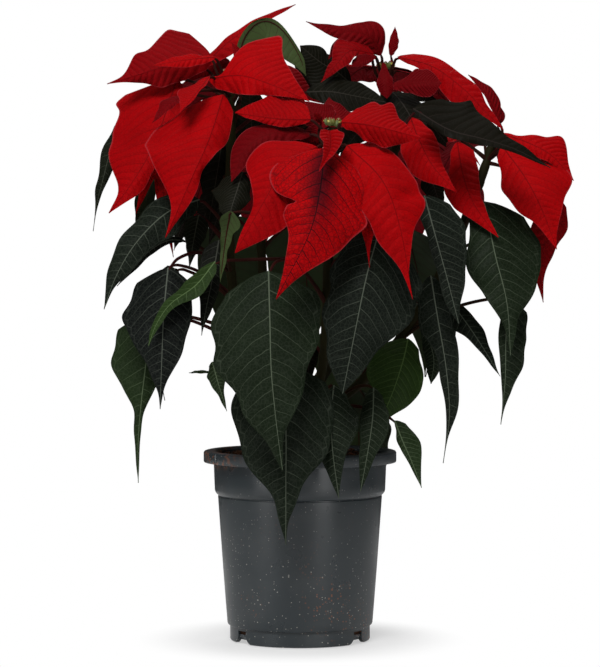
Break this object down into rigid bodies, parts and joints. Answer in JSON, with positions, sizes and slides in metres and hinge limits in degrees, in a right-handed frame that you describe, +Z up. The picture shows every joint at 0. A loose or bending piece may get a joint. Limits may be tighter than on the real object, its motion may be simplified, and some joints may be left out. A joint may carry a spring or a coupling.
{
  "type": "potted poinsettia",
  "caption": "Bushy poinsettia in a moulded nursery pot: forked stem, drooping dark green leaves, heads of red bracts and small yellow-green buds.",
  "frame": {"origin": "centre of the pot's underside, on the surface it stands on", "axes": "+Z up along the pot's axis; the plant's fullest side faces -Y, +X is to the viewer's right"},
  "size_m": [0.3222, 0.2908, 0.4292],
  "materials": {
    "pot": "satin",
    "soil": "matte",
    "wood": "matte",
    "leaf": "satin",
    "bract": "satin",
    "bud": "satin"
  },
  "bodies": {
    "root": {"pot": "pot", "soil": "soil", "main_stem": "wood", "leafy_stem_a": "leaf", "leafy_stem_b": "leaf", "leafy_stem_c": "leaf", "leafy_stem_d": "leaf", "leafy_stem_e": "leaf", "leafy_stem_f": "leaf", "bract_head_a": "bract", "bract_head_b": "bract", "bract_head_c": "bract", "bract_head_d": "bract", "bract_head_e": "bract", "bract_head_f": "bract", "cyathia_a": "bud", "cyathia_b": "bud", "cyathia_c": "bud", "cyathia_d": "bud", "cyathia_e": "bud", "cyathia_f": "bud"}
  },
  "joints": []
}
